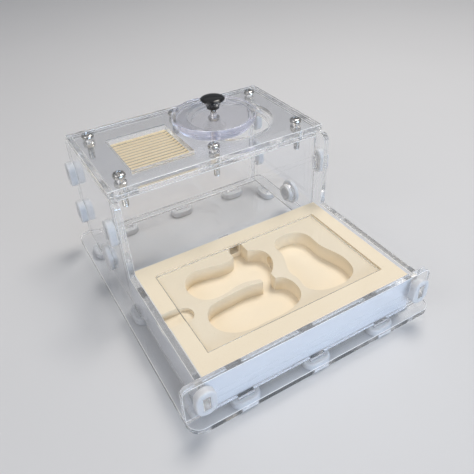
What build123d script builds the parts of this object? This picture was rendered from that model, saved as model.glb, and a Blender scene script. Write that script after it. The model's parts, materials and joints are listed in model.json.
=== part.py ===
from build123d import *
import os

# Ant farm: a clear tower for feeding at the back and a shallow tray in front that
# holds a plaster nest block.  Flat sheets are joined by tenons, and a soft oval clip
# is pushed over each tenon that comes out.
# Axes: +X to the right, +Y to the back, +Z up.  Origin: on the surface the farm stands
# on, under the middle of the base plate.  Millimetres.

# Sheets
sheet = 4.0                 # walls, base and upper cover
liner_sheet = 3.0           # second sheet under the cover
edge_break = 0.3            # small chamfer along the cut edges
slot_gap = 0.1              # play on each side of a tenon in its slot
seat_gap = 0.05             # air left between surfaces that lie on each other
past = 1.0                  # how far a cut or a join runs past a face

# Tenons and the clips on them
tenon_width = 10.0
tenon_reach = 4.5           # how far a tenon stands out of the sheet it crosses
clip_length = 18.0
clip_width = 12.0
clip_thick = 5.0
clip_round = 1.2
clip_gap = 0.05

# Base plate, held off the table by the clips under it
base_width = 168.0
base_depth = 200.0
base_corner = 8.0
base_low = clip_thick + seat_gap
deck = base_low + sheet
wall_low = deck + seat_gap

# Walls, as heights above the deck and places along Y
tower_width = 150.0         # over the side walls
inner_half = tower_width / 2 - sheet
outer_half = tower_width / 2
wall_middle = outer_half - sheet / 2
tray_height = 26.0
tower_height = 80.0
tray_front = -93.0          # front face of the tray's front wall
tower_front = 7.5           # front face of the tower's front wall
tower_back = 93.5           # back face of the back wall
side_front = -1.0           # front edge of the tall part of a side wall
side_back = 99.0
wall_corner = 5.0
tray_corner = 4.5
wall_gap = 0.1              # play between a wall's ends and the side walls

base_tenons_x = (-48.0, 0.0, 48.0)      # under the front wall and the back wall
base_tenons_y = (-80.0, -2.0, 76.0)     # under each side wall
divider_tenons_x = (-40.0, 40.0)        # under the tower's front wall
upper_tenon = 56.0          # heights of the tenons through the side walls
lower_tenon = 24.0
tray_tenon = 15.5           # height of the tenons through the tray's front wall

# Cover of the tower
inner_height = tower_height - liner_sheet - 2 * seat_gap    # of the walls under the liner
cover_low = deck + tower_height
cover_top = cover_low + sheet
liner_top = cover_low - seat_gap
liner_low = cover_low - liner_sheet
vent_x = (-54.0, -12.0)
vent_y = (23.5, 70.0)
mesh_margin = 0.5
mesh_thick = 0.5
mesh_pocket = 0.6
port_x = 28.7
port_y = 50.5
port_radius = 29.8
ledge_radius = 27.0
screw_x = (-62.7, 0.0, 62.7)
screw_y = (20.5, 80.5)
screw_hole = 2.2
screw_radius = 2.0
screw_length = 19.5
thread_gap = 0.05           # play between a screw and what is turned onto it
head_radius = 4.0
head_height = 2.8
head_round = 2.1
recess_depth = 1.5
recess_length = 4.0
recess_width = 0.8
nut_flats = 7.0
nut_height = 3.2

# Lid of the feeding port: two discs and a knob, lying beside the port on the cover
lid_x = 16.5
lid_low = cover_top + seat_gap
lid_plug_radius = 25.5
lid_flange_radius = 28.5
lid_sheet = 4.0
lid_round = 0.6
knob_radius = 8.2
knob_foot = 4.3
knob_height = 8.4
knob_rim = 6.6              # height of the knob's widest part above its foot
knob_flare = (1.4, 3.2)     # a point on the hollow curve, outwards and up from the foot
knob_lip = (0.5, 0.8)       # slope under the widest part, inwards and down
knob_stand = 3.0            # bare screw between the lid and the knob
knob_grip = 5.5             # how far the screw goes into the knob
knob_low = lid_low + 2 * (lid_sheet + seat_gap) + knob_stand

# Side ports with soft plugs
side_port_y = 42.0
side_port_z = deck + 14.0
side_port_hole = 7.2
plug_spigot = 6.9
plug_flange = 9.5
plug_flange_thick = 3.0
plug_inside = 2.5           # how far the spigot comes into the tower
plug_hollow = 4.6
plug_round = 0.8
plug_floor = 2.5            # thickness of the flange over the hollow
plug_dimple = 3.0
dimple_depth = 1.0

# Plaster nest block
nest_x = 70.8
nest_y = (-88.8, 6.8)
nest_top = deck + 24.0
nest_edge = 0.5
seat_x = 60.5
seat_y = (-76.0, -5.0)
seat_depth = 2.0
pane_gap = 0.3
pane_edge = 0.2
pane_slack = 1.3            # the wider gap left at the pane's right end
chamber_floor = deck + 12.0
channel_floor = deck + 19.0
channel_y = (-49.5, -37.5)
channel_end = -59.0
door_x = (-7.0, 0.0)
door_z = (deck + 16.0, deck + 22.0)
neck_x = (-9.5, 1.5)        # between the door and the rear chamber
neck_front = -16.0
gap_x = (-6.0, 2.2)         # opening between the rear and the front chamber
gap_y = (-48.0, -38.0)
link_x = (7.0, 21.0)        # round tunnel between the rear and the right chamber
link_y = -27.0
link_radius = 4.2
link_lift = 0.6             # how far the tunnel is above the chamber floor

chamber_rear = (
    (-13, -16), (-24, -15.5), (-34, -13.5), (-42, -14.5), (-47.5, -21), (-48, -31),
    (-43, -39), (-35, -41.3), (-26, -40), (-18, -38.7), (-9, -40.5), (-1, -42),
    (5.5, -38), (9.5, -32), (11, -25), (9, -18.5), (3, -14.5), (-5, -12.5),
)
chamber_front = (
    (-41, -44.8), (-34, -43.7), (-26, -43.2), (-17, -42.8), (-8, -44.3), (0, -45.6),
    (5.5, -47), (8.8, -52), (9.5, -59), (7, -66), (0, -71), (-10, -73), (-20, -72.8),
    (-30, -73), (-39, -71.3), (-46, -66), (-49, -57), (-46.5, -49),
)
chamber_right = (
    (18.5, -24), (17.8, -32), (15, -39), (12.8, -46), (13.6, -54), (13, -61),
    (15.8, -67), (22, -70.5), (31, -71.8), (40, -70.5), (46.5, -66), (49.3, -58),
    (49, -50), (46.5, -42), (44.5, -34), (44.5, -26), (43, -19), (38, -14.8),
    (29, -13.5), (22, -16),
)


def cuboid(x, y, z):
    """A box between two limits along each axis."""
    limits = (x, y, z)
    size = [abs(high - low) for low, high in limits]
    middle = [(high + low) / 2 for low, high in limits]
    return Pos(*middle) * Box(*size)


def rod(radius, low, high, x=0.0, y=0.0):
    """An upright cylinder between two heights."""
    return Pos(x, y, (low + high) / 2) * Cylinder(radius, high - low)


def rod_across(radius, x, y=0.0, z=0.0):
    """A cylinder along X between two limits."""
    length = x[1] - x[0]
    return Pos(sum(x) / 2, y, z) * Cylinder(radius, length, rotation=(0, 90, 0))


def span(middle, width):
    """Limits on both sides of a middle."""
    return (middle - width / 2, middle + width / 2)


def tenon_slot(middle):
    """Limits of a slot along the sheet, around a tenon's middle."""
    return span(middle, tenon_width + 2 * slot_gap)


def loosen(limits):
    """Limits of a slot across the sheet that a tenon belongs to."""
    return (limits[0] - slot_gap, limits[1] + slot_gap)


def save(shape, name):
    """Write one piece to its own file."""
    shape.label = name
    export_step(shape, f"parts/{name}.step")


# Places that several sheets share
tray_wall_y = (tray_front, tray_front + sheet)
divider_y = (tower_front, tower_front + sheet)
back_wall_y = (tower_back - sheet, tower_back)


def side_wall_x(side):
    """Limits of a side wall along X; side is -1 for the left and 1 for the right."""
    return tuple(sorted((side * inner_half, side * outer_half)))


def base_plate():
    """The wide bottom sheet, with a slot for each tenon that comes down."""
    outline = RectangleRounded(base_width, base_depth, base_corner)
    plate = extrude(Pos(0, 0, base_low) * outline, amount=sheet)
    plate = chamfer(plate.faces().filter_by(Axis.Z).edges(), edge_break)
    through = (base_low - past, deck + past)
    for x in base_tenons_x:
        plate -= cuboid(tenon_slot(x), loosen(tray_wall_y), through)
        plate -= cuboid(tenon_slot(x), loosen(back_wall_y), through)
    for x in divider_tenons_x:
        plate -= cuboid(tenon_slot(x), loosen(divider_y), through)
    for side in (-1, 1):
        for y in base_tenons_y:
            plate -= cuboid(loosen(side_wall_x(side)), tenon_slot(y), through)
    return plate


def cross_wall(wall_y, half, height, corner):
    """An upright sheet across the farm, with rounded upper corners if asked."""
    wall = cuboid((-half, half), wall_y, (wall_low, deck + height))
    if corner:
        upper = wall.edges().filter_by(Axis.Y).group_by(Axis.Z)[-1]
        wall = fillet(upper, corner)
    return chamfer(wall.faces().filter_by(Axis.Y).edges(), edge_break)


def tray_front_wall():
    """The low front sheet, wider than the tray, slotted for the side walls' tenons."""
    wall = cross_wall(tray_wall_y, base_width / 2, tray_height, tray_corner)
    for side in (-1, 1):
        slot_x = loosen(side_wall_x(side))
        slot_z = tenon_slot(deck + tray_tenon)
        wall -= cuboid(slot_x, (tray_front - past, tray_front + sheet + past), slot_z)
    for x in base_tenons_x:
        wall += foot_tenon(x, tray_wall_y)
    return wall


def foot_tenon(x, wall_y):
    """A tenon that goes down through the base plate and into a clip."""
    return cuboid(span(x, tenon_width), wall_y, (base_low - tenon_reach, deck + past))


def side_tenon(side, wall_y, height):
    """A tenon that goes sideways through a side wall and into a clip."""
    reach = (side * (inner_half - past), side * (outer_half + tenon_reach))
    return cuboid(tuple(sorted(reach)), wall_y, span(deck + height, tenon_width))


def tower_front_wall():
    """The sheet between tower and tray, with the ants' door in it."""
    wall = cross_wall(divider_y, inner_half - wall_gap, inner_height, 0)
    door = cuboid(door_x, (tower_front - past, tower_front + sheet + past), door_z)
    wall -= door
    for x in divider_tenons_x:
        wall += cuboid(span(x, tenon_width), divider_y, (base_low, deck + past))
    for side in (-1, 1):
        wall += side_tenon(side, divider_y, upper_tenon)
    return wall


def back_wall():
    """The sheet that closes the tower at the back."""
    wall = cross_wall(back_wall_y, inner_half - wall_gap, inner_height, 0)
    for x in base_tenons_x:
        wall += foot_tenon(x, back_wall_y)
    for side in (-1, 1):
        for height in (upper_tenon, lower_tenon):
            wall += side_tenon(side, back_wall_y, height)
    return wall


def side_wall(side):
    """One sheet, low along the tray and tall along the tower."""
    wall_x = side_wall_x(side)
    tray_back = tray_front + sheet + seat_gap
    top = cover_low - seat_gap
    corners = (
        (tray_back, wall_low), (side_back, wall_low), (side_back, top), (side_front, top),
        (side_front, deck + tray_height), (tray_back, deck + tray_height),
    )
    outline = Plane.YZ.offset(wall_x[0]) * Polyline(*corners, close=True)
    wall = extrude(make_face(outline), amount=sheet, dir=(1, 0, 0))
    upper = wall.edges().filter_by(Axis.X).group_by(Axis.Z)[-1]
    wall = fillet(upper, wall_corner)
    wall = chamfer(wall.faces().filter_by(Axis.X).edges(), edge_break)

    across = (wall_x[0] - past, wall_x[1] + past)
    wall -= cuboid(across, loosen(divider_y), tenon_slot(deck + upper_tenon))
    for height in (upper_tenon, lower_tenon):
        wall -= cuboid(across, loosen(back_wall_y), tenon_slot(deck + height))
    wall -= rod_across(side_port_hole, across, side_port_y, side_port_z)

    for y in base_tenons_y:
        tenon_z = (base_low - tenon_reach, deck + past)
        wall += cuboid(wall_x, span(y, tenon_width), tenon_z)
    front_reach = (tray_front - tenon_reach, tray_back + past)
    wall += cuboid(wall_x, front_reach, span(deck + tray_tenon, tenon_width))
    return wall


def drill_for_screws(plate, low, high):
    """Cut the six holes of the cover's screws."""
    for x in screw_x:
        for y in screw_y:
            plate -= rod(screw_hole, low - past, high + past, x, y)
    return plate


def cover_plate():
    """The top sheet, with the vent window and the feeding port."""
    plate = cuboid((-outer_half, outer_half), (tower_front, tower_back), (cover_low, cover_top))
    plate = chamfer(plate.edges(), edge_break)
    plate -= cuboid(vent_x, vent_y, (cover_low - past, cover_top + past))
    plate -= rod(port_radius, cover_low - past, cover_top + past, port_x, port_y)
    return drill_for_screws(plate, cover_low, cover_top)


def mesh_limits(gap):
    """Limits of the mesh sheet, or of its pocket when there is a gap."""
    reach = mesh_margin + gap
    return (
        (vent_x[0] - reach, vent_x[1] + reach),
        (vent_y[0] - reach, vent_y[1] + reach),
    )


def cover_liner():
    """The sheet under the cover; its smaller round hole makes the ledge of the port."""
    half = inner_half - 2 * wall_gap
    plate = cuboid((-half, half), (tower_front, tower_back), (liner_low, liner_top))
    plate = chamfer(plate.edges(), edge_break)
    pocket_x, pocket_y = mesh_limits(slot_gap)
    plate -= cuboid(pocket_x, pocket_y, (cover_low - mesh_pocket, cover_low + past))
    plate -= cuboid(vent_x, vent_y, (liner_low - past, cover_low + past))
    plate -= rod(ledge_radius, liner_low - past, cover_low + past, port_x, port_y)
    return drill_for_screws(plate, liner_low, cover_low)


def vent_mesh():
    """The woven sheet in the liner's pocket, clamped by the cover."""
    mesh_x, mesh_y = mesh_limits(0)
    mesh_low = cover_low - mesh_pocket
    return cuboid(mesh_x, mesh_y, (mesh_low, mesh_low + mesh_thick))


def cover_screw(x, y):
    """A pan-head screw with a cross recess, as long as the stack and its nut need."""
    head = rod(head_radius, cover_top + seat_gap, cover_top + head_height, x, y)
    head = fillet(head.faces().sort_by(Axis.Z)[-1].edges(), head_round)
    head_top = cover_top + head_height
    recess_z = (head_top - recess_depth, head_top + past)
    for arm_x, arm_y in ((recess_length, recess_width), (recess_width, recess_length)):
        head -= cuboid(span(x, arm_x), span(y, arm_y), recess_z)
    shank = rod(screw_radius, cover_top - screw_length, cover_top + past, x, y)
    shank = chamfer(shank.faces().sort_by(Axis.Z)[0].edges(), 0.5)
    return head + shank


def cover_nut(x, y):
    """A hexagon nut under the liner."""
    flat_to_corner = nut_flats / 3 ** 0.5
    hexagon = RegularPolygon(flat_to_corner, 6)
    low = liner_low - seat_gap - nut_height
    nut = extrude(Pos(x, y, low) * hexagon, amount=nut_height)
    return nut - rod(screw_radius + thread_gap, low - past, liner_low + past, x, y)


def lid_plug_disc():
    """The lower disc, which drops into the port."""
    disc = rod(lid_plug_radius, lid_low, lid_low + lid_sheet, lid_x, port_y)
    disc = chamfer(disc.edges(), edge_break)
    return disc - rod(screw_hole, lid_low - past, lid_low + lid_sheet + past, lid_x, port_y)


def lid_flange_disc():
    """The upper disc, wider than the lower one."""
    low = lid_low + lid_sheet + seat_gap
    disc = rod(lid_flange_radius, low, low + lid_sheet, lid_x, port_y)
    disc = fillet(disc.edges(), lid_round)
    return disc - rod(screw_hole, low - past, low + lid_sheet + past, lid_x, port_y)


def lid_knob():
    """A turned knob: a narrow foot that flares to a domed cap."""
    low = knob_low
    top = low + knob_height
    rim = low + knob_rim
    foot = (knob_foot, low)
    hollow = (knob_foot + knob_flare[0], low + knob_flare[1])
    lip = (knob_radius - knob_lip[0], rim - knob_lip[1])
    with BuildSketch(Plane.XZ) as profile:
        with BuildLine():
            Line((0, low), foot)
            ThreePointArc(foot, hollow, lip)
            Line(lip, (knob_radius, rim))
            TangentArc((0, top), (knob_radius, rim), tangent=(1, 0))
            Line((0, top), (0, low))
        make_face()
    knob = Pos(lid_x, port_y, 0) * revolve(profile.sketch, Axis.Z)
    return knob - rod(screw_radius + thread_gap, low - past, low + knob_grip + thread_gap, lid_x, port_y)


def knob_screw():
    """A pan-head screw that comes up through both discs and carries the knob."""
    under = lid_low - seat_gap
    head = rod(head_radius, under - head_height, under, lid_x, port_y)
    head = fillet(head.faces().sort_by(Axis.Z)[0].edges(), head_round)
    return head + rod(screw_radius, under - past, knob_low + knob_grip, lid_x, port_y)


def port_plug(side):
    """A soft stopper: a flange outside the wall and a hollow spigot through it."""
    outside = outer_half + seat_gap
    spigot_x = (inner_half - plug_inside, outside + past)
    hollow_x = (inner_half - plug_inside - past, outside + plug_flange_thick - plug_floor)
    dimple_x = (outside + plug_flange_thick - dimple_depth, outside + plug_flange_thick + past)
    flange = rod_across(plug_flange, (outside, outside + plug_flange_thick))
    plug = fillet(flange.edges(), plug_round) + rod_across(plug_spigot, spigot_x)
    plug -= rod_across(plug_hollow, hollow_x)
    plug -= rod_across(plug_dimple, dimple_x)
    if side < 0:
        plug = mirror(plug, Plane.YZ)
    return Pos(0, side_port_y, side_port_z) * plug


def chamber(points, low):
    """A rounded hollow, open at the seat of the pane."""
    outline = Spline(*points, periodic=True)
    return extrude(make_face(Pos(0, 0, low) * outline), amount=nest_top - low)


def plaster_nest():
    """A cast block with three chambers, a seat for the pane and a watering channel."""
    nest = cuboid((-nest_x, nest_x), nest_y, (deck + seat_gap, nest_top))
    nest = chamfer(nest.edges(), nest_edge)
    seat_z = (nest_top - seat_depth, nest_top + past)
    nest -= cuboid((-seat_x, seat_x), seat_y, seat_z)
    for points in (chamber_rear, chamber_front, chamber_right):
        nest -= chamber(points, chamber_floor)
    nest -= cuboid(gap_x, gap_y, (chamber_floor, nest_top))
    nest -= cuboid(neck_x, (neck_front, seat_y[1]), (chamber_floor, nest_top))
    nest -= cuboid(door_x, (seat_y[1] - past, nest_y[1] + past), door_z)
    nest -= rod_across(link_radius, link_x, link_y, chamber_floor + link_lift + link_radius)

    channel_z = (channel_floor, nest_top + past)
    channel = cuboid((-nest_x - past, channel_end), channel_y, channel_z)
    end_radius = (channel_y[1] - channel_y[0]) / 2
    end_y = sum(channel_y) / 2
    nest -= channel
    nest -= rod(end_radius, channel_floor, nest_top + past, channel_end, end_y)
    return nest


def nest_pane():
    """The clear sheet lying over the chambers, level with the block's rim."""
    pane_x = (-seat_x + pane_gap, seat_x - pane_slack)
    pane_y = (seat_y[0] + pane_gap, seat_y[1] - pane_gap)
    pane = cuboid(pane_x, pane_y, (nest_top - seat_depth + seat_gap, nest_top))
    return chamfer(pane.edges(), pane_edge)


def clip():
    """An oval silicone clip lying flat, with a slot for one tenon."""
    body = extrude(SlotOverall(clip_length, clip_width), amount=clip_thick)
    body = fillet(body.faces().filter_by(Axis.Z).edges(), clip_round)
    slot_x = span(0, tenon_width + 2 * clip_gap)
    slot_y = span(0, sheet + 2 * clip_gap)
    return body - cuboid(slot_x, slot_y, (-past, clip_thick + past))


def clip_under(x, y, turn):
    """A clip on a tenon that comes out under the base plate."""
    return Pos(x, y, 0) * Rot(0, 0, turn) * clip()


def clip_beside(side, y, height):
    """A clip on a tenon that comes out of a side wall."""
    place = (side * (outer_half + seat_gap), y, deck + height)
    facing = Plane(origin=place, x_dir=(0, 0, 1), z_dir=(side, 0, 0))
    return facing.location * clip()


def clip_ahead(side):
    """A clip on a tenon that comes out of the tray's front wall."""
    place = (side * wall_middle, tray_front - seat_gap, deck + tray_tenon)
    facing = Plane(origin=place, x_dir=(0, 0, 1), z_dir=(0, -1, 0))
    return facing.location * clip()


def save_clips():
    divider_middle = sum(divider_y) / 2
    back_middle = sum(back_wall_y) / 2
    for x, place in zip(base_tenons_x, ("left", "middle", "right")):
        save(clip_under(x, sum(tray_wall_y) / 2, 0), f"clip_under_front_{place}")
        save(clip_under(x, back_middle, 0), f"clip_under_back_{place}")
    for side, name in ((-1, "left"), (1, "right")):
        for y, place in zip(base_tenons_y, ("front", "middle", "back")):
            save(clip_under(side * wall_middle, y, 90), f"clip_under_{name}_side_{place}")
        save(clip_beside(side, divider_middle, upper_tenon), f"clip_{name}_tower_front")
        save(clip_beside(side, back_middle, upper_tenon), f"clip_{name}_tower_back_upper")
        save(clip_beside(side, back_middle, lower_tenon), f"clip_{name}_tower_back_lower")
        save(clip_ahead(side), f"clip_{name}_tray_front")


def save_cover_fasteners():
    for x, across in zip(screw_x, ("left", "middle", "right")):
        for y, along in zip(screw_y, ("front", "back")):
            save(cover_screw(x, y), f"cover_screw_{along}_{across}")
            save(cover_nut(x, y), f"cover_nut_{along}_{across}")


os.makedirs("parts", exist_ok=True)
save(base_plate(), "base_plate")
save(tray_front_wall(), "tray_front_wall")
save(tower_front_wall(), "tower_front_wall")
save(back_wall(), "back_wall")
save(side_wall(-1), "left_side_wall")
save(side_wall(1), "right_side_wall")
save(cover_plate(), "cover_plate")
save(cover_liner(), "cover_liner")
save(vent_mesh(), "vent_mesh")
save(plaster_nest(), "plaster_nest")
save(nest_pane(), "nest_pane")
save(lid_flange_disc(), "lid_flange_disc")
save(lid_plug_disc(), "lid_plug_disc")
save(lid_knob(), "lid_knob")
save(knob_screw(), "knob_screw")
save(port_plug(-1), "left_port_plug")
save(port_plug(1), "right_port_plug")
save_cover_fasteners()
save_clips()
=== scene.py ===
import json
import math

import bmesh
import bpy
from mathutils import Matrix, Vector


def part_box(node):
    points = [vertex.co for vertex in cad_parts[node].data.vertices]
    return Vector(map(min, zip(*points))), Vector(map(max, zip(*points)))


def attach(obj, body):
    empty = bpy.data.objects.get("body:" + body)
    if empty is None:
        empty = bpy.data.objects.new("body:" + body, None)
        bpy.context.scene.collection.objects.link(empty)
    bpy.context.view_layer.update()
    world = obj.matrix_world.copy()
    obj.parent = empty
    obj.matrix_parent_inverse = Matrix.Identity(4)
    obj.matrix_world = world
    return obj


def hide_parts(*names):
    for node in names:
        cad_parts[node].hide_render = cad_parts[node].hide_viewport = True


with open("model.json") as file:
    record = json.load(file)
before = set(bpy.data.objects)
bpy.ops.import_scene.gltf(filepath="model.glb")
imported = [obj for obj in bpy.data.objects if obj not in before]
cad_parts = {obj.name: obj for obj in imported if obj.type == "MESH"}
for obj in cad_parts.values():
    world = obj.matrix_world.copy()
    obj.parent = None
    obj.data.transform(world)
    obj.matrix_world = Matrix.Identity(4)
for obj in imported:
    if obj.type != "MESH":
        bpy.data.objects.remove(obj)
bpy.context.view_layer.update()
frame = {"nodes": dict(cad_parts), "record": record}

# Looks of the clear ant farm.  Metres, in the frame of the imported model.
MM = 0.001
TINY = 1e-6                 # radius of a ring that stands for a point on the axis
SCREW_RADIUS = 2.0 * MM
SCREW_HOLE = 2.2 * MM
HEAD_HEIGHT = 2.8 * MM
PLEAT = 3.7 * MM            # width of one pleat of the mesh

names = list(frame["nodes"])


# ---------------------------------------------------------------- small helpers

def centre(name):
    """Middle of a CAD node's box."""
    low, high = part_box(name)
    return (Vector(low) + Vector(high)) / 2


def extent(name):
    """Size of a CAD node's box."""
    low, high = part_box(name)
    return Vector(high) - Vector(low)


def body_holding(name):
    """The moving body a CAD node belongs to, or None for the housing."""
    for body, nodes in frame["record"]["behaviour"]["bodies"].items():
        if name in nodes:
            return body
    return None


def mesh_object(name, points, faces):
    """A smooth-shaded object from points and faces, linked to the scene."""
    mesh = bpy.data.meshes.new(name)
    mesh.from_pydata([tuple(p) for p in points], [], faces)
    mesh.validate()
    mesh.polygons.foreach_set("use_smooth", [True] * len(mesh.polygons))
    thing = bpy.data.objects.new(name, mesh)
    bpy.context.scene.collection.objects.link(thing)
    return thing


def stand_for(thing, node, material):
    """The new piece takes a CAD node's place and moves with that node's body."""
    thing.data.materials.append(material)
    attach(thing, body_holding(node))
    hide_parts(node)
    return thing


def rings_to_mesh(name, rings, closed=False):
    """Joins rings of equally many points with quads; closed joins the last to the first."""
    count = len(rings[0])
    points = [point for ring in rings for point in ring]
    faces = []
    total = len(rings)
    steps = total if closed else total - 1
    for k in range(steps):
        a = k * count
        b = ((k + 1) % total) * count
        for i in range(count):
            j = (i + 1) % count
            faces.append((a + i, a + j, b + j, b + i))
    return mesh_object(name, points, faces)


def sharp_edges(thing, degrees=35):
    """Keeps edges that turn by more than this crisp under smooth shading."""
    thing.data.set_sharp_from_angle(angle=math.radians(degrees))


def circle(radius, z, count):
    """Points of a level circle round the axis."""
    out = []
    for i in range(count):
        angle = 2 * math.pi * i / count
        out.append(Vector((radius * math.cos(angle), radius * math.sin(angle), z)))
    return out


def lathe(name, profile, place, count=96, turned=Matrix.Identity(3)):
    """Revolves (radius, height) pairs.  A profile that ends on the axis is capped there."""
    rings = []
    for radius, height in profile:
        rings.append([place + turned @ point for point in circle(max(radius, TINY), height, count)])
    first_on_axis = profile[0][0] == 0
    last_on_axis = profile[-1][0] == 0
    closed = not (first_on_axis and last_on_axis)
    thing = rings_to_mesh(name, rings, closed=closed)
    merge_close(thing)
    return thing


def merge_close(thing, distance=5e-6):
    """Joins points that lie on each other and turns all faces outwards."""
    work = bmesh.new()
    work.from_mesh(thing.data)
    bmesh.ops.remove_doubles(work, verts=work.verts, dist=distance)
    bmesh.ops.recalc_face_normals(work, faces=work.faces)
    work.to_mesh(thing.data)
    work.free()
    thing.data.polygons.foreach_set("use_smooth", [True] * len(thing.data.polygons))


# ---------------------------------------------------------------- shader helpers

class Shader:
    """A node tree with one Principled shader, and short calls for the nodes before it."""

    def __init__(self, name):
        self.material = bpy.data.materials.new(name)
        self.material.use_nodes = True
        self.tree = self.material.node_tree
        self.main = self.tree.nodes["Principled BSDF"]
        self.output = self.tree.nodes["Material Output"]
        self.place = self.add("ShaderNodeTexCoord").outputs["Object"]

    def add(self, kind, inputs=None, **settings):
        node = self.tree.nodes.new(kind)
        for key, value in settings.items():
            setattr(node, key, value)
        for key, value in (inputs or {}).items():
            self.feed(value, node.inputs[key])
        return node

    def feed(self, value, socket):
        if isinstance(value, bpy.types.NodeSocket):
            self.tree.links.new(value, socket)
        else:
            socket.default_value = value

    def set(self, **values):
        for key, value in values.items():
            self.feed(value, self.main.inputs[key.replace("_", " ")])

    def noise(self, scale, detail=3.0, roughness=0.5, vector=None):
        inputs = {"Vector": vector or self.place, "Scale": scale}
        inputs["Detail"] = detail
        inputs["Roughness"] = roughness
        node = self.add("ShaderNodeTexNoise", inputs)
        return node.outputs["Fac"]

    def cells(self, scale):
        node = self.add("ShaderNodeTexVoronoi", {"Vector": self.place, "Scale": scale}, feature="F1")
        return node.outputs["Distance"]

    def span(self, value, low, high, to_low=0.0, to_high=1.0, smooth=False):
        kind = "SMOOTHSTEP" if smooth else "LINEAR"
        inputs = {"Value": value, "From Min": low, "From Max": high, "To Min": to_low, "To Max": to_high}
        node = self.add("ShaderNodeMapRange", inputs, interpolation_type=kind)
        return node.outputs["Result"]

    def math(self, operation, first, second=0.0):
        node = self.add("ShaderNodeMath", operation=operation)
        self.feed(first, node.inputs[0])
        self.feed(second, node.inputs[1])
        return node.outputs[0]

    def blend(self, share, first, second):
        """Mixes two colours."""
        node = self.add("ShaderNodeMix", data_type="RGBA")
        self.feed(share, node.inputs["Factor"])
        self.feed(first, node.inputs[6])
        self.feed(second, node.inputs[7])
        return node.outputs[2]

    def pick(self, share, first, second):
        """Mixes two numbers."""
        node = self.add("ShaderNodeMix", data_type="FLOAT")
        self.feed(share, node.inputs[0])
        self.feed(first, node.inputs[2])
        self.feed(second, node.inputs[3])
        return node.outputs[0]

    def split(self, vector):
        return self.add("ShaderNodeSeparateXYZ", {"Vector": vector}).outputs

    def stretched(self, scale):
        node = self.add("ShaderNodeMapping", {"Vector": self.place, "Scale": scale})
        return node.outputs["Vector"]

    def bump(self, height, distance, strength=1.0, after=None):
        inputs = {"Height": height, "Distance": distance, "Strength": strength}
        if after is not None:
            inputs["Normal"] = after
        return self.add("ShaderNodeBump", inputs).outputs["Normal"]

    def let_light_through(self, share, tint):
        """Lets a share of the lamps' light pass straight to what lies behind."""
        path = self.add("ShaderNodeLightPath").outputs
        lamp_ray = self.math("MAXIMUM", path["Is Shadow Ray"], path["Is Diffuse Ray"])
        clear = self.add("ShaderNodeBsdfTransparent", {"Color": tint})
        mix = self.add("ShaderNodeMixShader", {"Fac": self.math("MULTIPLY", lamp_ray, share)})
        self.tree.links.new(self.main.outputs[0], mix.inputs[1])
        self.tree.links.new(clear.outputs[0], mix.inputs[2])
        self.tree.links.new(mix.outputs[0], self.output.inputs["Surface"])


# ---------------------------------------------------------------- materials

def acrylic(name, across, tint=(0.985, 0.99, 1.0, 1), edge_colour_and_painted_light=(0.99, 0.98, 0.965, 1), bends=1.49,
            marks=0.3):
    """Clear sheet: polished faces, finely lined laser-cut edges, bright corners.

    across is the sheet's thin axis.  Faces look along it, cut edges lie square to it, and
    the small chamfer between them catches the light.  bends is the refractive
    index, and marks is how strongly the cut is lined.  The cut edges' colour is their own faint tint; on
    the lid it is a painted reflection of cool light and on the pane painted shade.
    """
    s = Shader(name)
    normal = s.add("ShaderNodeTexCoord").outputs["Normal"]
    facing = s.math("ABSOLUTE", s.split(normal)["XYZ".index(across)])
    cut_edge = s.span(facing, 0.90, 0.80, smooth=True)
    corner = s.math("MULTIPLY", cut_edge, s.span(facing, 0.45, 0.60, smooth=True))

    smudge = s.span(s.noise(38.0, 4.0, 0.6), 0.52, 0.75, smooth=True)
    stretch = [1.0, 1.0, 1.0]
    stretch["XYZ".index(across)] = 0.08
    cut_lines = s.noise(1500.0, 2.0, 0.5, s.stretched(stretch))
    face_rough = s.span(smudge, 0.0, 1.0, 0.012, 0.05)
    edge_rough = s.span(cut_lines, 0.3, 0.7, 0.07, 0.18)
    rough = s.pick(corner, s.pick(cut_edge, face_rough, edge_rough), 0.35)
    clear = s.pick(corner, s.span(cut_edge, 0.0, 1.0, 1.0, 0.88), 0.25)

    s.set(Base_Color=s.blend(cut_edge, tint, edge_colour_and_painted_light), Roughness=rough, IOR=bends,
          Transmission_Weight=clear)
    ripple = s.bump(s.noise(22.0, 1.0), 0.00012, 0.2)
    striae = s.math("MULTIPLY", cut_lines, cut_edge)
    s.set(Normal=s.bump(striae, 0.00004, marks, after=ripple))
    s.let_light_through(s.span(corner, 0.0, 1.0, 1.0, 0.5), (0.975, 0.98, 0.985, 1))
    return s.material


def silicone():
    """Milky moulded silicone with a faint grain."""
    s = Shader("silicone")
    cloud = s.noise(160.0, 3.0)
    s.set(Base_Color=s.blend(cloud, (0.80, 0.80, 0.82, 1), (0.89, 0.89, 0.90, 1)),
          Roughness=s.span(s.noise(420.0, 3.0), 0.3, 0.7, 0.30, 0.48), IOR=1.43,
          Transmission_Weight=0.28, Subsurface_Weight=0.5, Subsurface_Scale=0.005)
    s.main.inputs["Subsurface Radius"].default_value = (1.0, 0.97, 0.94)
    grain = s.bump(s.noise(2600.0, 2.0), 0.00004, 0.4)
    s.set(Normal=s.bump(s.cells(900.0), 0.00005, 0.15, after=grain))
    s.let_light_through(0.35, (0.85, 0.87, 0.88, 1))
    return s.material


def steel():
    """Stainless fasteners, faintly brushed and a little worn."""
    s = Shader("stainless_steel")
    streak = s.noise(900.0, 3.0, 0.6, s.stretched((1.0, 0.2, 1.0)))
    worn = s.noise(260.0, 4.0)
    s.set(Base_Color=s.blend(worn, (0.52, 0.51, 0.49, 1), (0.74, 0.73, 0.71, 1)), Metallic=1.0,
          Roughness=s.span(streak, 0.3, 0.7, 0.14, 0.34))
    s.set(Normal=s.bump(streak, 0.00002, 0.35))
    return s.material


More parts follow.
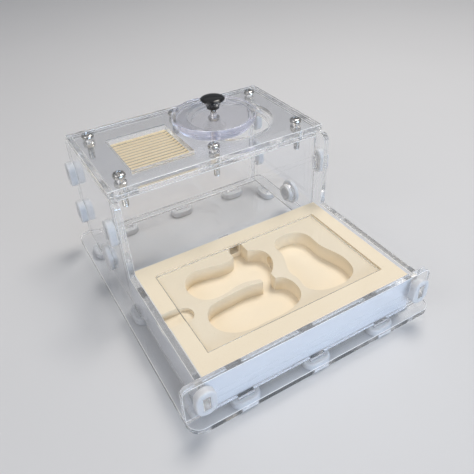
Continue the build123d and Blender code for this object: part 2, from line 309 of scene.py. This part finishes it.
def black_gloss():
    """Polished black plastic with fine dust and hairline scratches."""
    s = Shader("black_gloss_plastic")
    dust = s.span(s.noise(1500.0, 4.0, 0.7), 0.62, 0.74, smooth=True)
    s.set(Base_Color=s.blend(dust, (0.006, 0.006, 0.007, 1), (0.05, 0.05, 0.052, 1)),
          Roughness=s.span(dust, 0.0, 1.0, 0.07, 0.3), IOR=1.48, Coat_Weight=0.25)
    s.main.inputs["Coat Roughness"].default_value = 0.04
    scratch = s.noise(700.0, 2.0, 0.5, s.stretched((1.0, 0.06, 1.0)))
    s.set(Normal=s.bump(scratch, 0.00002, 0.12))
    return s.material


def plaster(low, high):
    """Cream cast plaster: soft blotches, fine grain and a few air pits.

    low and high are the block's corners.  The chambers are painted brighter than the rim to offset the
    shade in them, and the outer sides are painted a cool grey-white for the cool light that falls on them.
    """
    s = Shader("cream_plaster")
    x, y, z = s.split(s.place)
    depth = s.math("SUBTRACT", high[2], z)
    # Painted light: the deeper the plaster lies, the brighter its cream, to offset the shade down in the
    # chambers.
    painted_floor_light = s.span(depth, 2.5 * MM, 10.5 * MM, smooth=True)
    inset_side = s.math("SUBTRACT", high[0], s.math("ABSOLUTE", x))
    inset_front = s.math("SUBTRACT", y, low[1])
    inset_back = s.math("SUBTRACT", high[1], y)
    inset = s.math("MINIMUM", inset_side, s.math("MINIMUM", inset_front, inset_back))
    # Painted light: the outer sides take a cool grey-white for the cool light that falls on them.
    painted_side_light_mask = s.span(inset, 0.8 * MM, 0.3 * MM, smooth=True)

    blotch = s.noise(26.0, 5.0, 0.6)
    grain = s.noise(1300.0, 4.0, 0.65)
    pits = s.span(s.cells(420.0), 0.0, 0.16, 1.0, 0.0, smooth=True)
    rare = s.span(s.noise(90.0, 2.0), 0.55, 0.66, smooth=True)
    pits_and_pit_shade = s.math("MULTIPLY", pits, rare)
    cream = s.blend(blotch, (0.81, 0.695, 0.52, 1), (0.88, 0.78, 0.61, 1))
    # Painted light: a brighter cream for the chamber floors.
    painted_lit_cream = s.blend(blotch, (0.95, 0.82, 0.62, 1), (0.985, 0.88, 0.70, 1))
    # Painted light: a cool grey-white for the outer sides.
    painted_cool_side_light = s.blend(blotch, (0.80, 0.80, 0.82, 1), (0.86, 0.87, 0.90, 1))
    cream = s.blend(painted_floor_light, cream, painted_lit_cream)
    cream = s.blend(s.span(grain, 0.35, 0.65, 0.0, 0.2), cream, (0.95, 0.88, 0.74, 1))
    cream = s.blend(painted_side_light_mask, cream, painted_cool_side_light)
    # The air pits are coloured a darker brown: painted shade in the pits, on top of their sunk bump.
    s.set(Base_Color=s.blend(s.math("MULTIPLY", pits_and_pit_shade, 0.5), cream, (0.50, 0.42, 0.30, 1)),
          Roughness=s.span(grain, 0.3, 0.7, 0.78, 0.96), Specular_IOR_Level=0.25)
    surface = s.bump(grain, 0.00010, 0.5)
    surface = s.bump(blotch, 0.0006, 0.25, after=surface)
    s.set(Normal=s.bump(pits_and_pit_shade, -0.0003, 0.8, after=surface))
    return s.material


def mesh_wire(first, pleat):
    """Cream-gold woven wire with painted shade down in its pleats.  first is the Y of a pleat's bottom."""
    s = Shader("cream_gold_wire")
    tone = s.noise(300.0, 3.0)
    cream = s.blend(tone, (0.87, 0.71, 0.45, 1), (0.95, 0.83, 0.59, 1))
    along = s.math("DIVIDE", s.math("SUBTRACT", s.split(s.place)[1], first), pleat)
    swing = s.math("ABSOLUTE", s.math("SUBTRACT", s.math("FRACT", along), 0.5))
    # Painted shade: the wire turns dark brown along the bottoms of the pleats.
    groove = s.span(swing, 0.33, 0.42, smooth=True)
    s.set(Base_Color=s.blend(s.math("MULTIPLY", groove, 0.95), cream, (0.06, 0.04, 0.02, 1)), Metallic=0.1,
          Roughness=s.span(s.noise(2400.0, 2.0), 0.3, 0.7, 0.35, 0.6))
    s.set(Normal=s.bump(s.noise(5000.0, 2.0), 0.00002, 0.3))
    return s.material


SHEETS = {axis: acrylic("clear_acrylic_" + axis.lower(), axis) for axis in "XYZ"}
# The lid's lavender edge colour is a painted reflection of the cool front light.
LID_SHEET = acrylic("clear_acrylic_lid", "Z", (0.98, 0.98, 1.0, 1), (0.90, 0.89, 1.0, 1))
# The pane's dark grey-brown edge colour is painted shade for the dark line round the pane.
PANE_SHEET = acrylic("clear_pane", "Z", (0.995, 0.995, 1.0, 1), (0.62, 0.60, 0.56, 1),
                     bends=1.25, marks=0.05)
SILICONE = silicone()
STEEL = steel()
BLACK = black_gloss()
PLASTER = plaster(*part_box("plaster_nest"))
WIRE = mesh_wire(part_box("vent_mesh")[0][1], PLEAT)


# ---------------------------------------------------------------- pieces

def rounded_loop(length, width, radius, height):
    """A rounded rectangle lying flat: a stadium when the radius is half the width."""
    count = 72
    half_x = length / 2 - radius
    half_y = width / 2 - radius
    out = []
    for i in range(count):
        angle = 2 * math.pi * (i + 0.5) / count
        x, y = math.cos(angle), math.sin(angle)
        corner = Vector((math.copysign(half_x, x), math.copysign(half_y, y), height))
        out.append(corner + Vector((x * radius, y * radius, 0)))
    return out


def clip_piece(node):
    """Soft oval clip: rounded rims, two ribs round the side, a lip round its slot."""
    size = extent(node)
    axes = sorted(range(3), key=lambda k: size[k])
    thin, across, along = axes
    turned = Matrix.Identity(3)
    for row in range(3):
        for column, axis in enumerate((along, across, thin)):
            turned[row][column] = 1.0 if row == axis else 0.0
    thick, width, length = size[thin], size[across], size[along]
    half = thick / 2
    rim = 1.2 * MM
    rib = 0.30 * MM
    sunk = 0.28 * MM
    slot_length = 10.1 * MM
    slot_width = 4.1 * MM
    slot_corner = 0.15 * MM
    slot_bevel = 0.25 * MM
    lip = 0.8 * MM
    rings = []

    def outer(inset, height):
        """A loop that follows the outline."""
        rings.append(rounded_loop(length - 2 * inset, width - 2 * inset, width / 2 - inset, height))

    def inner(wider, radius, height):
        """A loop that follows the slot."""
        rings.append(rounded_loop(slot_length + wider, slot_width + wider, radius, height))

    for k in range(7):
        angle = math.radians(90 * k / 6)
        outer(rim * (1 - math.sin(angle)), -half + rim * (1 - math.cos(angle)))
    side = thick - 2 * rim
    for k in range(1, 12):
        height = -half + rim + side * k / 12
        outer(rib * math.sin(math.pi * k / 4) ** 2, height)
    for k in range(7):
        angle = math.radians(90 - 90 * k / 6)
        outer(rim * (1 - math.sin(angle)), half - rim * (1 - math.cos(angle)))
    outer(rim + 0.5 * MM, half)
    outer(rim + 0.8 * MM, half - sunk)
    inner(2 * lip, lip + 0.2 * MM, half - sunk)
    inner(1.2 * lip, lip, half - 0.02 * MM)
    inner(0.5 * lip, lip / 2, half)
    inner(0, slot_corner, half - slot_bevel)
    inner(0, slot_corner, -half + slot_bevel)
    inner(0.5 * lip, lip / 2, -half)

    middle = centre(node)
    placed = [[middle + turned @ point for point in ring] for ring in rings]
    thing = rings_to_mesh(node + "_moulded", placed, closed=True)
    merge_close(thing, 1e-7)
    return stand_for(thing, node, SILICONE)


def recess_depth(x, y, deep):
    """Depth of a cross recess at a place on a screw's head."""
    arm_length = 2.7 * MM
    arm_half_width = 0.62 * MM
    arm = max(abs(x), abs(y)) / arm_length
    side = min(abs(x), abs(y)) / arm_half_width
    return deep * max(0.0, 1 - side ** 8) * max(0.0, 1 - arm ** 6) ** 0.5


def screw_piece(node, facing=1, plain=5.0 * MM):
    """Pan head with a cross recess and a threaded shank.  facing is 1 for a head that looks up."""
    low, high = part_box(node)
    middle = centre(node)
    head_radius = (high[0] - low[0]) / 2
    length = high[2] - low[2] - HEAD_HEIGHT
    level_under_head = high[2] - HEAD_HEIGHT if facing > 0 else low[2] + HEAD_HEIGHT
    shoulder = Vector((middle.x, middle.y, level_under_head))
    around = 96
    steps = 36
    flat_share = 0.62
    recess = 1.7 * MM
    pitch = 0.7 * MM
    thread_depth = 0.32 * MM
    point_length = 0.8 * MM
    point_depth = 0.35 * MM

    def dome(radius):
        """Height of the head's top: a slight crown, then a rounded shoulder."""
        share = radius / head_radius
        drop = min(1.0, max(0.0, (share - flat_share) / (1 - flat_share))) ** 2
        return HEAD_HEIGHT * (1 - 0.05 * share ** 2 - 0.55 * (1 - math.sqrt(1 - drop)))

    def ring(radius_of, height_of):
        out = []
        for i in range(around):
            angle = 2 * math.pi * i / around
            radius = radius_of(angle)
            x, y = radius * math.cos(angle), radius * math.sin(angle)
            out.append(shoulder + Vector((x, y, facing * height_of(x, y))))
        return out

    rings = []
    for k in range(steps + 1):
        radius = max(head_radius * k / steps, TINY)
        level = dome(radius)
        rings.append(ring(lambda a: radius, lambda x, y: level - recess_depth(x, y, recess)))
    rings.append(ring(lambda a: head_radius * 0.99, lambda x, y: 0.12 * MM))
    rings.append(ring(lambda a: head_radius * 0.96, lambda x, y: 0.0))
    rings.append(ring(lambda a: SCREW_RADIUS, lambda x, y: 0.0))
    rings.append(ring(lambda a: SCREW_RADIUS, lambda x, y: -plain))
    count = int((length - plain) / pitch * 10)
    for k in range(1, count + 1):
        height = -plain - (length - plain) * k / count
        taper = min(1.0, (height + length) / point_length)

        def thread(angle):
            groove = 1 - abs(2 * ((height / pitch - angle / (2 * math.pi)) % 1.0) - 1)
            return SCREW_RADIUS - thread_depth * groove - point_depth * (1 - taper)

        rings.append(ring(thread, lambda x, y: height))
    rings.append(ring(lambda a: TINY, lambda x, y: -length))
    thing = rings_to_mesh(node + "_turned", rings)
    merge_close(thing, 2e-6)
    sharp_edges(thing, 40)
    return stand_for(thing, node, STEEL)


def nut_piece(node):
    """Hexagon nut with turned corners and a plain, bevelled bore."""
    low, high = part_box(node)
    base = centre(node)
    flats = min(high[0] - low[0], high[1] - low[1])
    half = (high[2] - low[2]) / 2
    around = 96
    bore = 2.05 * MM
    corner = flats / math.sqrt(3)
    flat_first = (high[0] - low[0]) > (high[1] - low[1])

    def hexagon(angle):
        turn = angle if flat_first else angle + math.pi / 6
        local = (turn + math.pi / 6) % (math.pi / 3) - math.pi / 6
        return corner * math.cos(math.pi / 6) / math.cos(math.pi / 6 - abs(local))

    def ring(radius_of, height_of):
        out = []
        for i in range(around):
            angle = 2 * math.pi * i / around
            radius = radius_of(angle)
            x, y = radius * math.cos(angle), radius * math.sin(angle)
            out.append(base + Vector((x, y, height_of(radius))))
        return out

    turned = flats / 2 * 0.97
    chamfer = math.tan(math.radians(30))
    bevel = 0.3 * MM
    rings = [
        ring(lambda a: bore, lambda r: -half + bevel),
        ring(lambda a: bore + bevel, lambda r: -half),
        ring(lambda a: turned, lambda r: -half),
        ring(hexagon, lambda r: -half + (r - turned) * chamfer),
        ring(hexagon, lambda r: half - (r - turned) * chamfer),
        ring(lambda a: turned, lambda r: half),
        ring(lambda a: bore + bevel, lambda r: half),
        ring(lambda a: bore, lambda r: half - bevel),
    ]
    thing = rings_to_mesh(node + "_hexagon", rings, closed=True)
    merge_close(thing, 1e-6)
    sharp_edges(thing, 30)
    return stand_for(thing, node, STEEL)


def disc_piece(node, hole_radius):
    """Round clear disc with softened edges and a centre hole."""
    low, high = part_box(node)
    base = centre(node)
    radius = (high[0] - low[0]) / 2
    half = (high[2] - low[2]) / 2
    soft = 0.35 * MM
    nick = 0.1 * MM
    # The rings just inside the soft edges keep the flat faces flat under smooth shading.
    flat = (hole_radius + 3 * nick, radius - 2 * soft)
    profile = [(hole_radius, half - nick), (hole_radius + nick, half)]
    profile += [(flat[0], half), (flat[1], half), (radius - soft, half)]
    for k in range(1, 6):
        angle = math.radians(90 - 90 * k / 5)
        profile.append((radius - soft + soft * math.cos(angle), half - soft + soft * math.sin(angle)))
    for k in range(6):
        angle = math.radians(-90 * k / 5)
        profile.append((radius - soft + soft * math.cos(angle), -half + soft + soft * math.sin(angle)))
    profile += [(flat[1], -half), (flat[0], -half)]
    profile += [(hole_radius + nick, -half), (hole_radius, -half + nick)]
    thing = lathe(node + "_turned", profile, base, count=160)
    sharp_edges(thing, 35)
    return stand_for(thing, node, LID_SHEET)


def knob_piece(node):
    """Turned knob: a narrow foot that flares to a domed cap with a bead round its rim."""
    low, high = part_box(node)
    middle = centre(node)
    base = Vector((middle.x, middle.y, low[2]))
    height = high[2] - low[2]
    cap = (high[0] - low[0]) / 2
    foot = 4.3 * MM
    rim = 6.6 * MM
    bead = 0.7 * MM
    bore = 2.06 * MM
    bore_depth = 6.0 * MM
    bevel = 0.3 * MM
    profile = [(0.0, bore_depth), (bore, bore_depth), (bore, 0.0), (foot - bevel, 0.0), (foot, bevel)]
    for k in range(1, 15):
        share = k / 15
        flare = share ** 1.7
        radius = foot + (cap - 0.8 * MM - foot) * flare
        profile.append((radius, bevel + (rim - 1.3 * MM) * share))
    for k in range(9):
        angle = math.radians(-80 + 150 * k / 8)
        radius = cap - bead + bead * math.cos(angle)
        profile.append((radius, rim - 0.1 * MM + bead * math.sin(angle)))
    # A fine step inside the bead, then the dome.
    start_radius = profile[-1][0] - 0.35 * MM
    start_height = profile[-1][1] - 0.05 * MM
    profile.append((start_radius, start_height))
    for k in range(1, 17):
        angle = math.radians(90 * k / 16)
        radius = start_radius * math.cos(angle)
        profile.append((radius, start_height + (height - start_height) * math.sin(angle)))
    profile[-1] = (0.0, height)
    thing = lathe(node + "_turned", profile, base, count=128)
    sharp_edges(thing, 50)
    return stand_for(thing, node, BLACK)


def plug_piece(node, side):
    """Silicone stopper: rounded flange with a dimple and a ribbed hollow spigot."""
    low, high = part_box(node)
    middle = centre(node)
    outer = high[0] if side > 0 else low[0]
    base = Vector((outer, middle.y, middle.z))
    flange = (high[2] - low[2]) / 2
    length = high[0] - low[0]
    flange_thick = 3.0 * MM
    spigot = 6.9 * MM
    outer_round = 0.9 * MM
    inner_round = 0.6 * MM
    dimple_depth = 1.0 * MM
    dimple_floor = 2.4 * MM
    dimple_mouth = 3.4 * MM
    groove_depth = 0.15 * MM
    rib_height = 0.25 * MM
    # Heights run from the outer face (0) into the tower (negative).
    # First the dimple, then a fine groove round the flange's face.
    profile = [(0.0, -dimple_depth), (dimple_floor, -dimple_depth), (2.9 * MM, -0.6 * MM)]
    profile += [(3.1 * MM, -0.1 * MM), (dimple_mouth, 0.0)]
    profile += [(flange - 2.2 * MM, 0.0), (flange - 2.0 * MM, -groove_depth)]
    profile += [(flange - 1.6 * MM, -groove_depth), (flange - 1.4 * MM, 0.0)]
    for k in range(7):
        angle = math.radians(90 - 90 * k / 6)
        radius = flange - outer_round + outer_round * math.cos(angle)
        profile.append((radius, -outer_round + outer_round * math.sin(angle)))
    for k in range(5):
        angle = math.radians(-90 * k / 4)
        radius = flange - inner_round + inner_round * math.cos(angle)
        profile.append((radius, -flange_thick + inner_round + inner_round * math.sin(angle)))
    profile += [(spigot + 0.05 * MM, -flange_thick), (spigot - 0.1 * MM, -flange_thick - 0.3 * MM)]
    inside = length - flange_thick
    for k in range(1, 24):
        depth = inside * k / 24
        rib = rib_height * max(0.0, math.sin(4 * math.pi * k / 24))
        profile.append((spigot - rib_height + rib, -flange_thick - depth))
    profile += [(spigot - 0.7 * MM, -length), (4.7 * MM, -length), (4.6 * MM, -length + 0.3 * MM)]
    profile += [(4.4 * MM, -flange_thick - 0.2 * MM), (0.0, -flange_thick)]
    turned = Matrix(((0, 0, side), (0, 1, 0), (-side, 0, 0)))
    thing = lathe(node + "_moulded", profile, base, count=96, turned=turned)
    sharp_edges(thing, 50)
    return stand_for(thing, node, SILICONE)


def woven_mesh(node):
    """Plain weave of fine wire, softly pleated where the window leaves it free."""
    low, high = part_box(node)
    level = (low[2] + high[2]) / 2
    size = Vector(high) - Vector(low)
    wire = 0.16 * MM
    pitch = 0.62 * MM
    rise = 0.09 * MM
    pleat_height = 0.8 * MM
    border = 0.9 * MM
    fade = 2.0 * MM
    sides = 5

    def lift(x, y):
        """How far the pleats bring the cloth down at a place; nothing at its border."""
        inset = min(x - low[0], high[0] - x, y - low[1], high[1] - y) - border
        free = min(max(inset / fade, 0.0), 1.0)
        return -pleat_height * free * (1 + math.cos(2 * math.pi * (y - low[1]) / PLEAT)) / 2

    points = []
    faces = []

    def tube(line, across):
        """One wire along a line of places, with closed ends."""
        start = len(points)
        for x, y, z in line:
            for k in range(sides):
                angle = 2 * math.pi * k / sides
                offset = wire * math.cos(angle)
                beside = (x + offset * across[0], y + offset * across[1])
                points.append((*beside, z + wire * math.sin(angle)))
        for i in range(len(line) - 1):
            for k in range(sides):
                a = start + i * sides + k
                b = start + i * sides + (k + 1) % sides
                faces.append((a, b, b + sides, a + sides))
        faces.append(tuple(start + k for k in reversed(range(sides))))
        faces.append(tuple(start + (len(line) - 1) * sides + k for k in range(sides)))

    count_x = int((size.x - 2 * wire) / pitch)
    count_y = int((size.y - 2 * wire) / pitch)
    first_x = low[0] + (size.x - (count_x - 1) * pitch) / 2
    first_y = low[1] + (size.y - (count_y - 1) * pitch) / 2
    for row in range(count_y):
        y = first_y + row * pitch
        line = []
        for k in range(2 * count_x - 1):
            x = first_x + k * pitch / 2
            wave = math.cos(math.pi * k / 2) * (1 if row % 2 else -1)
            line.append((x, y, level + lift(x, y) + rise * wave))
        tube(line, (0, 1))
    for column in range(count_x):
        x = first_x + column * pitch
        line = []
        for k in range(2 * count_y - 1):
            y = first_y + k * pitch / 2
            wave = math.cos(math.pi * k / 2) * (-1 if column % 2 else 1)
            line.append((x, y, level + lift(x, y) + rise * wave))
        tube(line, (1, 0))
    thing = mesh_object(node + "_woven", points, faces)
    return stand_for(thing, node, WIRE)


# ---------------------------------------------------------------- put it together

for name in names:
    if name.startswith("clip_"):
        clip_piece(name)
    elif name.startswith("cover_screw"):
        screw_piece(name)
    elif name.startswith("cover_nut"):
        nut_piece(name)
disc_piece("lid_flange_disc", SCREW_HOLE)
disc_piece("lid_plug_disc", SCREW_HOLE)
knob_piece("lid_knob")
screw_piece("knob_screw", facing=-1, plain=9.0 * MM)
plug_piece("left_port_plug", -1)
plug_piece("right_port_plug", 1)
woven_mesh("vent_mesh")

# The thin axis of each flat sheet.
SHEET_AXIS = {
    "base_plate": "Z", "cover_plate": "Z", "cover_liner": "Z",
    "left_side_wall": "X", "right_side_wall": "X",
    "tray_front_wall": "Y", "tower_front_wall": "Y", "back_wall": "Y",
}
for name, axis in SHEET_AXIS.items():
    for slot in frame["nodes"][name].material_slots:
        slot.material = SHEETS[axis]
for name, material in (("plaster_nest", PLASTER), ("nest_pane", PANE_SHEET)):
    for slot in frame["nodes"][name].material_slots:
        slot.material = material


# ---------------------------------------------------------------- floor, light, camera

def pale_floor():
    """A plain floor that curves up into a wall far behind the farm."""
    s = Shader("pale_floor")
    tone = s.noise(3.0, 3.0)
    s.set(Base_Color=s.blend(tone, (0.62, 0.62, 0.63, 1), (0.66, 0.66, 0.67, 1)), Roughness=0.6)
    half = 3.0
    back = 2.4
    bend = 0.8
    rise = 2.0
    rings = [[(-half, y, 0.0), (half, y, 0.0)] for y in (-half, back)]
    for k in range(1, 17):
        angle = math.radians(90 * k / 16)
        y = back + bend * math.sin(angle)
        z = bend * (1 - math.cos(angle))
        rings.append([(-half, y, z), (half, y, z)])
    rings.append([(-half, back + bend, rise), (half, back + bend, rise)])
    points = [p for ring in rings for p in ring]
    faces = [(2 * k, 2 * k + 1, 2 * k + 3, 2 * k + 2) for k in range(len(rings) - 1)]
    floor = mesh_object("floor", points, faces)
    floor.location.z = -0.1 * MM
    floor.data.materials.append(s.material)


def soft_light(name, place, target, size, power, colour):
    """A rectangular lamp that looks at a target."""
    data = bpy.data.lights.new(name, "AREA")
    data.shape = "RECTANGLE"
    data.size, data.size_y = size
    data.energy = power
    data.color = colour
    lamp = bpy.data.objects.new(name, data)
    bpy.context.scene.collection.objects.link(lamp)
    direction = Vector(target) - Vector(place)
    lamp.rotation_euler = direction.to_track_quat("-Z", "Y").to_euler()
    lamp.location = place


pale_floor()
aim = (0.0, 0.0, 0.03)
soft_light("key", (0.42, 0.18, 1.05), aim, (0.42, 0.42), 7.4, (1.0, 0.955, 0.89))
soft_light("left", (-0.95, -0.15, 0.75), aim, (0.5, 0.5), 2.4, (1.0, 0.98, 0.96))
soft_light("front", (0.2, -1.15, 0.24), aim, (0.7, 0.3), 7.0, (0.60, 0.77, 1.0))


def studio_world():
    """Soft cool light from all round, stronger from above."""
    world = bpy.data.worlds.new("studio")
    bpy.context.scene.world = world
    world.use_nodes = True
    tree = world.node_tree
    background = tree.nodes["Background"]
    direction = tree.nodes.new("ShaderNodeTexCoord")
    axes = tree.nodes.new("ShaderNodeSeparateXYZ")
    ramp = tree.nodes.new("ShaderNodeMapRange")
    ramp.inputs["From Min"].default_value = -0.1
    ramp.inputs["From Max"].default_value = 0.9
    ramp.inputs["To Min"].default_value = 0.13
    ramp.inputs["To Max"].default_value = 0.45
    tree.links.new(direction.outputs["Generated"], axes.inputs["Vector"])
    tree.links.new(axes.outputs["Z"], ramp.inputs["Value"])
    tree.links.new(ramp.outputs["Result"], background.inputs["Strength"])
    background.inputs["Color"].default_value = (0.93, 0.95, 1.0, 1)


studio_world()

# The camera stands to the left in front, looks down on the farm, and leans a little.
FOCAL_LENGTH = 38.69
SENSOR = 36.0
CAMERA_PLACE = Vector((-0.12739, -0.23805, 0.24428))
TURNED = math.radians(28.5)
LOOKING_DOWN = math.radians(37.82)
LEAN = math.radians(-3.12)


def main_camera():
    """Places the camera from the angles above."""
    right = Vector((math.cos(TURNED), -math.sin(TURNED), 0))
    level = math.cos(LOOKING_DOWN)
    ahead = Vector((math.sin(TURNED) * level, math.cos(TURNED) * level, -math.sin(LOOKING_DOWN)))
    up = right.cross(ahead)
    side = math.cos(LEAN) * right + math.sin(LEAN) * up
    top = math.cos(LEAN) * up - math.sin(LEAN) * right
    data = bpy.data.cameras.new("camera")
    data.sensor_width = SENSOR
    data.lens = FOCAL_LENGTH
    data.clip_start = 0.01
    camera = bpy.data.objects.new("camera", data)
    bpy.context.scene.collection.objects.link(camera)
    turn = Matrix((side, top, -ahead)).transposed().to_4x4()
    camera.matrix_world = Matrix.Translation(CAMERA_PLACE) @ turn
    bpy.context.scene.camera = camera


main_camera()

# A line of sight crosses many clear faces, so light may bounce often.
scene = bpy.context.scene
scene.cycles.max_bounces = 32
scene.cycles.transmission_bounces = 24
scene.cycles.glossy_bounces = 24
scene.cycles.transparent_max_bounces = 32
scene.cycles.caustics_refractive = False
scene.cycles.caustics_reflective = False
scene.view_settings.view_transform = "Standard"
